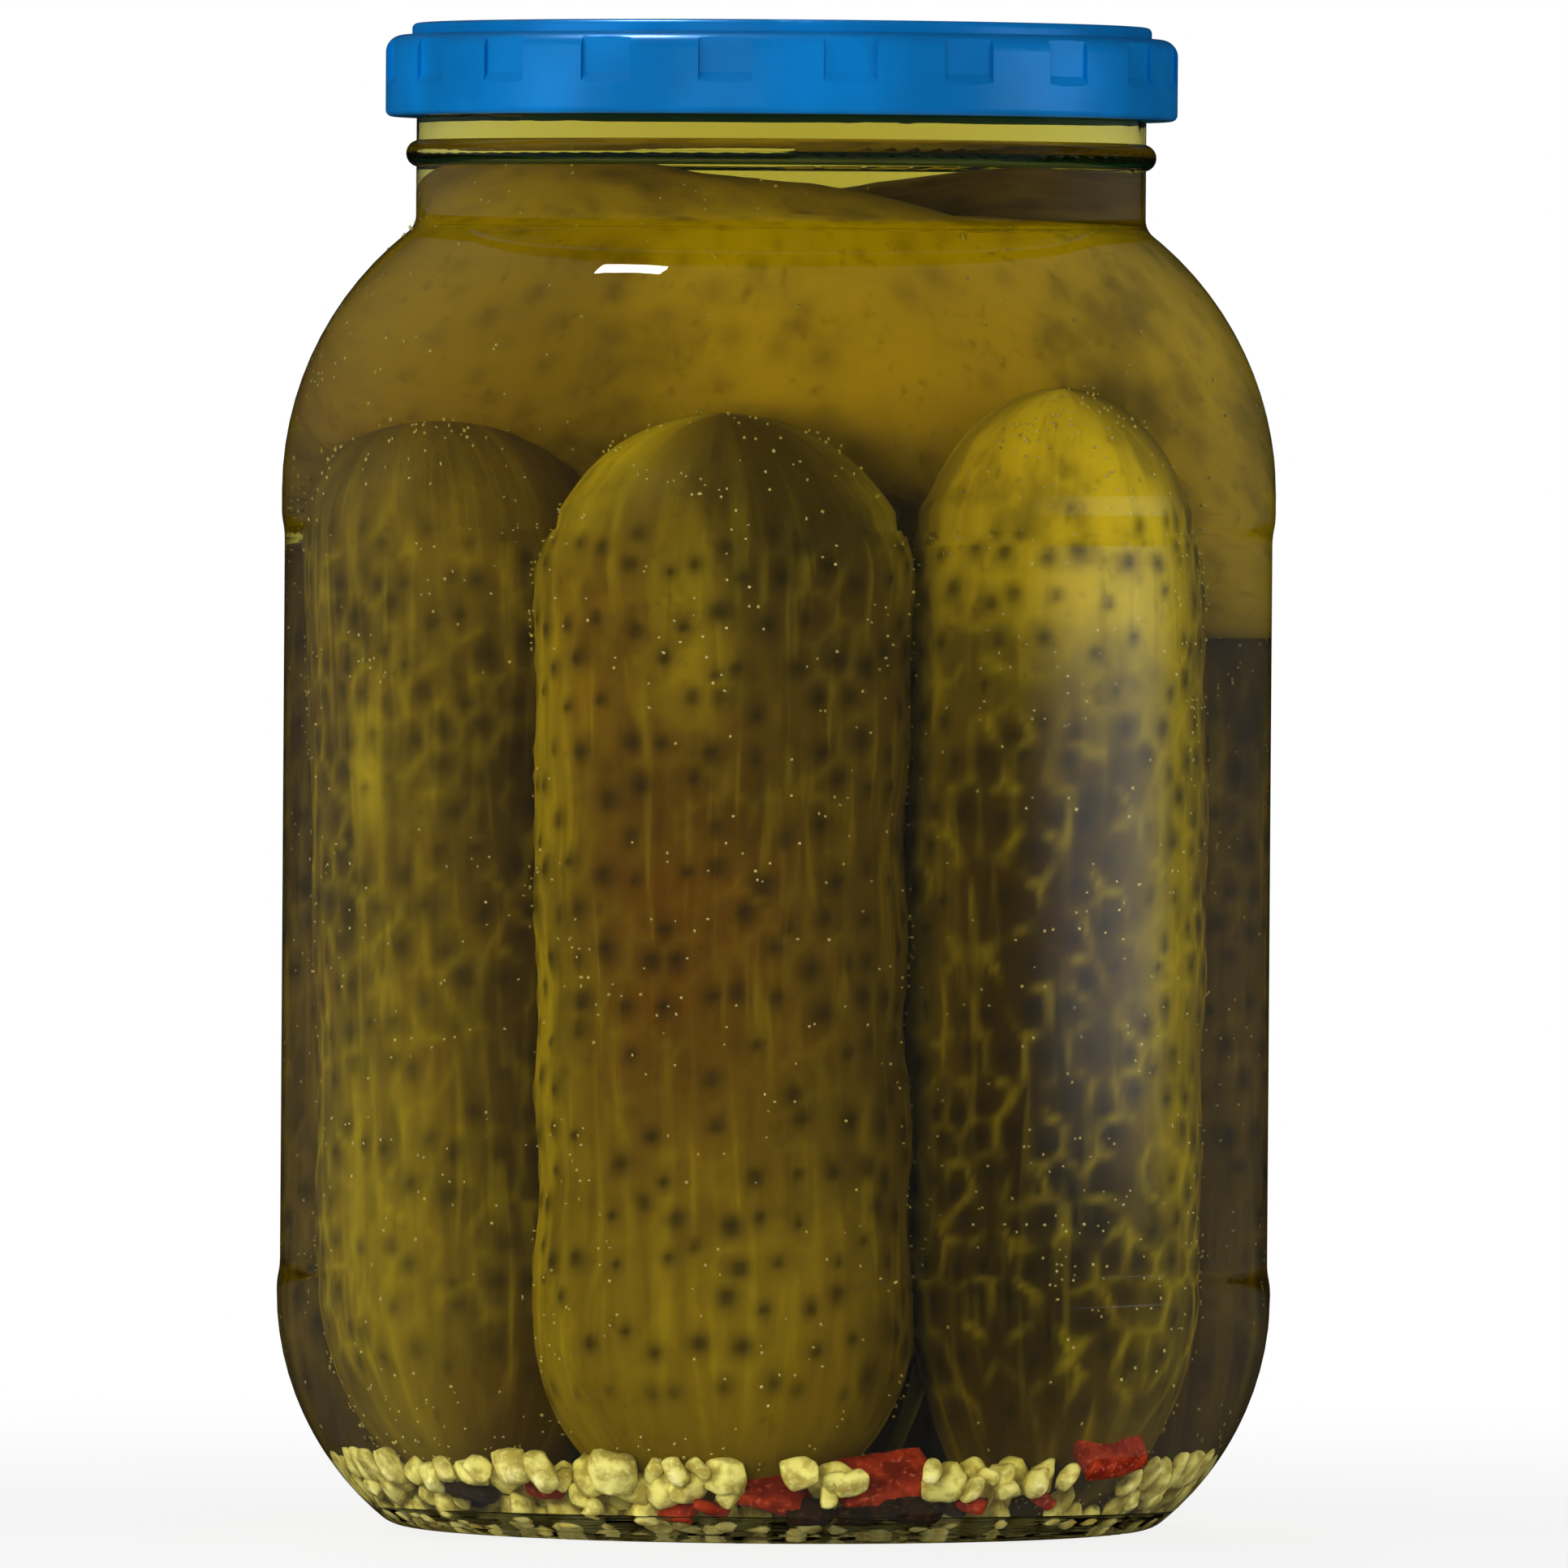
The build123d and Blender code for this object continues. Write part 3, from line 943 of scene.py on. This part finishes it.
class PICKLE_OT_spices(bpy.types.Operator):
    """Lays garlic, red pepper and spice husks on the floor of the jar"""

    bl_idname = "pickle_jar.spices"
    bl_label = "Spices"

    def execute(self, context):
        settings = context.scene.pickle_jar.spices
        rng = np.random.default_rng(5)
        kinds = (
            ("pepper_pieces", PEPPER, settings.pepper, ("red pepper flesh", "D86850", "6E1808")),
            ("spice_husks", HUSKS, settings.husk, ("dried spice husk", "5A4030", "140C06")),
        )
        for name, rows, colour, (label, lighter, darker) in kinds:
            material = vegetable(label, colour, linear(lighter), linear(darker), 3 * MM, 0.35)
            places = [tuple(part * MM for part in row[0]) for row in rows]
            turns = [tuple(math.radians(part) for part in row[1]) for row in rows]
            sizes = [tuple(part * MM for part in row[2]) for row in rows]
            values = {"Corners": 9, "Roundness": 0.45, "Unevenness": 2.2 * MM, "Grain": 5 * MM}
            scatter(name, places, turns, sizes, material, values)
        taken = [(tuple(part * MM for part in row[0]), row[2][0] * MM) for row in PEPPER + HUSKS]
        places, halves = heap(settings.garlic_count, settings.garlic_size, rng, taken)
        turns = rng.uniform(0, 2 * math.pi, (len(places), 3))
        stretch = rng.uniform(0.6, 1.05, (len(places), 3))
        stretch[:, 0] = 1.1
        sizes = np.array(halves)[:, None] * stretch
        material = vegetable(
            "chopped garlic", settings.garlic, linear("F4EEC0"), linear("B8A658"), 2.5 * MM, 0.4
        )
        values = {"Corners": 6, "Roundness": 0.72, "Unevenness": 2.2 * MM, "Grain": 4 * MM}
        scatter("garlic_bits", places, turns, sizes, material, values)
        return {"FINISHED"}


class PICKLE_OT_sediment(bpy.types.Operator):
    """Scatters fine sediment on the pickles and in the brine near the glass"""

    bl_idname = "pickle_jar.sediment"
    bl_label = "Sediment"

    def execute(self, context):
        settings = context.scene.pickle_jar.spices
        rng = np.random.default_rng(8)
        names = [row[0] for row in UPRIGHT + LYING if row[0] != "pickle_middle"]
        places = []
        for name in names:
            mesh = bpy.data.objects[name].data
            points = np.empty(len(mesh.vertices) * 3)
            normals = np.empty(len(mesh.vertices) * 3)
            mesh.vertices.foreach_get("co", points)
            mesh.vertices.foreach_get("normal", normals)
            points = points.reshape(-1, 3)
            normals = normals.reshape(-1, 3)
            outward = np.einsum("ij,ij->i", normals[:, :2], points[:, :2])
            outward /= np.hypot(points[:, 0], points[:, 1])
            seen = np.flatnonzero(outward > 0.1)
            # They gather in loose swarms some 20 mm across.
            swarm = np.exp(1.1 * wave_noise(points[seen], rng, (0.02, 0.02, 0.03)))
            chosen = rng.choice(seen, settings.speck_count // len(names), p=swarm / swarm.sum())
            drift = rng.uniform(-0.3, 0.3, (len(chosen), 3)) + normals[chosen] * 0.45
            places.extend(points[chosen] + drift * MM)
        turns = rng.uniform(0, 2 * math.pi, (len(places), 3))
        sizes = settings.speck_size * rng.uniform(0.5, 1.3, (len(places), 3))
        material = vegetable(
            "spice sediment", settings.speck, linear("F4ECC8"), linear("A89858"), 1 * MM, 0.6
        )
        values = {"Corners": 2, "Roundness": 0.3, "Unevenness": 0.1 * MM, "Grain": 1 * MM}
        scatter("sediment", places, turns, sizes, material, values)
        return {"FINISHED"}


# Stage


def seen_directly(tree):
    """1 for camera, glossy and transmission rays, and 0 for the rest."""
    path = add(tree, "ShaderNodeLightPath").outputs
    eye = maths(tree, "MAXIMUM", path["Is Camera Ray"], path["Is Glossy Ray"])
    return maths(tree, "MAXIMUM", eye, path["Is Transmission Ray"])


def stage_disc(name, radius, material):
    """A flat round floor."""
    mesh = bpy.data.meshes.new(name)
    shape = bmesh.new()
    bmesh.ops.create_circle(shape, cap_ends=True, radius=radius, segments=96)
    shape.to_mesh(mesh)
    shape.free()
    mesh.materials.append(material)
    disc = bpy.data.objects.new(name, mesh)
    bpy.context.scene.collection.objects.link(disc)


def reflected(tree):
    """1 for a ray that a glossy surface reflected, and 0 for the rest."""
    path = add(tree, "ShaderNodeLightPath").outputs
    return maths(tree, "MULTIPLY", path["Is Glossy Ray"], path["Is Reflection Ray"])


def cloth(tree):
    """The look of the dark studio cloth in a reflection."""
    return add(tree, "ShaderNodeEmission", {"Color": linear("0C0C0C"), "Strength": 1.0}).outputs[0]


def floor_finish(colour):
    """Matt white studio floor that keeps a soft shadow near the jar and goes to white further away."""
    material, tree, output = new_material("studio floor")
    place = add(tree, "ShaderNodeTexCoord").outputs["Object"]
    away = add(tree, "ShaderNodeVectorMath", {0: place}, operation="LENGTH").outputs["Value"]
    fade = spread(tree, away, 0.1, 0.45, 0.82, 1.0)
    shown = maths(tree, "MULTIPLY", fade, seen_directly(tree))
    matt = add(tree, "ShaderNodeBsdfDiffuse", {"Color": colour})
    white = add(tree, "ShaderNodeEmission", {"Color": (1, 1, 1, 1), "Strength": 1.0})
    both = add(tree, "ShaderNodeMixShader", {0: shown, 1: matt.outputs[0], 2: white.outputs[0]})
    covered = add(tree, "ShaderNodeMixShader", {0: reflected(tree), 1: both.outputs[0], 2: cloth(tree)})
    tree.links.new(covered.outputs[0], output.inputs["Surface"])
    return material


def surround_finish():
    """Dark cloth round the studio that only reflections show, so the glass isn't veiled in white."""
    material, tree, output = new_material("dark studio cloth")
    # A dim softbox with soft edges, on the right and as high as the jar, for a grey sheen on the glass.
    where = add(tree, "ShaderNodeTexCoord").outputs["Object"]
    place = add(tree, "ShaderNodeSeparateXYZ", {0: where}).outputs
    azimuth = maths(tree, "ARCTAN2", place["X"], maths(tree, "MULTIPLY", place["Y"], -1.0))
    aside = maths(tree, "ABSOLUTE", maths(tree, "SUBTRACT", azimuth, math.radians(82)))
    above = maths(tree, "ABSOLUTE", place["Z"])
    across = spread(tree, aside, math.radians(6), math.radians(26), 1.0, 0.0)
    softbox = maths(tree, "MULTIPLY", across, spread(tree, above, 0.05, 0.2, 1.0, 0.0))
    bright = add(tree, "ShaderNodeEmission", {"Color": (1, 1, 1, 1), "Strength": 3.5})
    shown = add(tree, "ShaderNodeMixShader", {0: softbox, 1: cloth(tree), 2: bright.outputs[0]})
    clear = add(tree, "ShaderNodeBsdfTransparent", {"Color": (1, 1, 1, 1)})
    both = add(tree, "ShaderNodeMixShader", {0: reflected(tree), 1: clear.outputs[0], 2: shown.outputs[0]})
    tree.links.new(both.outputs[0], output.inputs["Surface"])
    return material


def lamp(name, place, aim, width, height, energy, spin=0.0, reflection=False):
    """A soft rectangular lamp that either lights things or only shows as a reflection."""
    light = bpy.data.lights.new(name, "AREA")
    light.shape = "RECTANGLE"
    light.size = width
    light.size_y = height
    light.energy = energy
    box = bpy.data.objects.new(name, light)
    bpy.context.scene.collection.objects.link(box)
    box.location = place
    aimed = (Vector(aim) - Vector(place)).to_track_quat("-Z", "Y")
    box.rotation_euler = (aimed @ Quaternion((0.0, 0.0, 1.0), math.radians(spin))).to_euler()
    box.visible_glossy = reflection
    box.visible_diffuse = not reflection
    box.visible_transmission = False


class PICKLE_OT_stage(bpy.types.Operator):
    """Sets up the floor, the lamps, the background and the camera"""

    bl_idname = "pickle_jar.stage"
    bl_label = "Stage"

    def execute(self, context):
        settings = context.scene.pickle_jar.stage
        scene = context.scene
        scene.view_settings.view_transform = "Standard"
        stage_disc("floor", FLOOR_RADIUS, floor_finish(settings.floor))
        cloth_mesh = bpy.data.meshes.new("surround")
        shape = bmesh.new()
        bmesh.ops.create_uvsphere(shape, u_segments=48, v_segments=24, radius=CLOTH_RADIUS)
        shape.to_mesh(cloth_mesh)
        shape.free()
        cloth_mesh.materials.append(surround_finish())
        surround = bpy.data.objects.new("surround", cloth_mesh)
        scene.collection.objects.link(surround)
        surround.visible_camera = False
        surround.visible_diffuse = False
        surround.visible_shadow = False
        world = bpy.data.worlds.new("studio")
        scene.world = world
        world.use_nodes = True
        tree = world.node_tree
        tree.nodes.clear()
        fill = add(tree, "ShaderNodeBackground", {"Color": (1, 1, 1, 1), "Strength": 0.35})
        white = add(tree, "ShaderNodeBackground", {"Color": (1, 1, 1, 1), "Strength": 1.0})
        parts = {0: seen_directly(tree), 1: fill.outputs[0], 2: white.outputs[0]}
        both = add(tree, "ShaderNodeMixShader", parts)
        add(tree, "ShaderNodeOutputWorld", {"Surface": both.outputs[0]})
        middle = (0.0, 0.0, 0.11)
        lamp("left", (-2.4, -0.9, 0.5), middle, 1.2, 1.2, 34.0)
        lamp("front", (-0.8, -2.5, 0.2), middle, 1.2, 0.4, 34.0)
        lamp("right", (2.4, -0.8, 0.5), middle, 1.0, 1.0, 26.0)
        lamp("back", (-0.6, 2.2, 1.2), middle, 1.2, 1.0, 20.0)
        lamp("highlight", (-0.8, 0.02, 2.13), (-0.02, -0.05, 0.18), 0.43, 0.12, 24.0, 53.0, True)
        camera = bpy.data.cameras.new("camera")
        camera.sensor_width = 36.0
        camera.lens = 36.0 * settings.eye_distance / settings.view_width
        camera.clip_end = 100.0
        eye = bpy.data.objects.new("camera", camera)
        scene.collection.objects.link(eye)
        # The jar stands 1 mm left of the middle of the view and leans slightly to the right in it.
        aim = Vector((1.0 * MM, 0.0, 0.105))
        eye.location = (1.0 * MM, -settings.eye_distance, settings.eye_height)
        level = (aim - eye.location).to_track_quat("-Z", "Y")
        eye.rotation_euler = (level @ Quaternion((0.0, 0.0, 1.0), LEAN)).to_euler()
        scene.camera = eye
        return {"FINISHED"}


class PICKLE_PT_panel(bpy.types.Panel):
    """The steps that build the pickle jar's looks"""

    bl_idname = "PICKLE_PT_panel"
    bl_label = "Pickle Jar"
    bl_space_type = "VIEW_3D"
    bl_region_type = "UI"
    bl_category = "Pickle Jar"

    def draw(self, context):
        for step in STEPS:
            self.layout.operator(step.bl_idname)


STEPS = (
    PICKLE_OT_stage,
    PICKLE_OT_glass,
    PICKLE_OT_lid,
    PICKLE_OT_pickles,
    PICKLE_OT_spices,
    PICKLE_OT_sediment,
    PICKLE_OT_brine,
)
CLASSES = (
    GlassSettings,
    LidSettings,
    PickleSettings,
    SpiceSettings,
    StageSettings,
    PickleJarSettings,
    *STEPS,
    PICKLE_PT_panel,
)


def register():
    """Registers the settings, operators and panel."""
    for each in CLASSES:
        bpy.utils.register_class(each)
    bpy.types.Scene.pickle_jar = bpy.props.PointerProperty(type=PickleJarSettings)


def unregister():
    """Takes them away again."""
    del bpy.types.Scene.pickle_jar
    for each in reversed(CLASSES):
        bpy.utils.unregister_class(each)


def main():
    register()
    for step in STEPS:
        group, action = step.bl_idname.split(".")
        getattr(getattr(bpy.ops, group), action)()


if __name__ == "__main__":
    main()
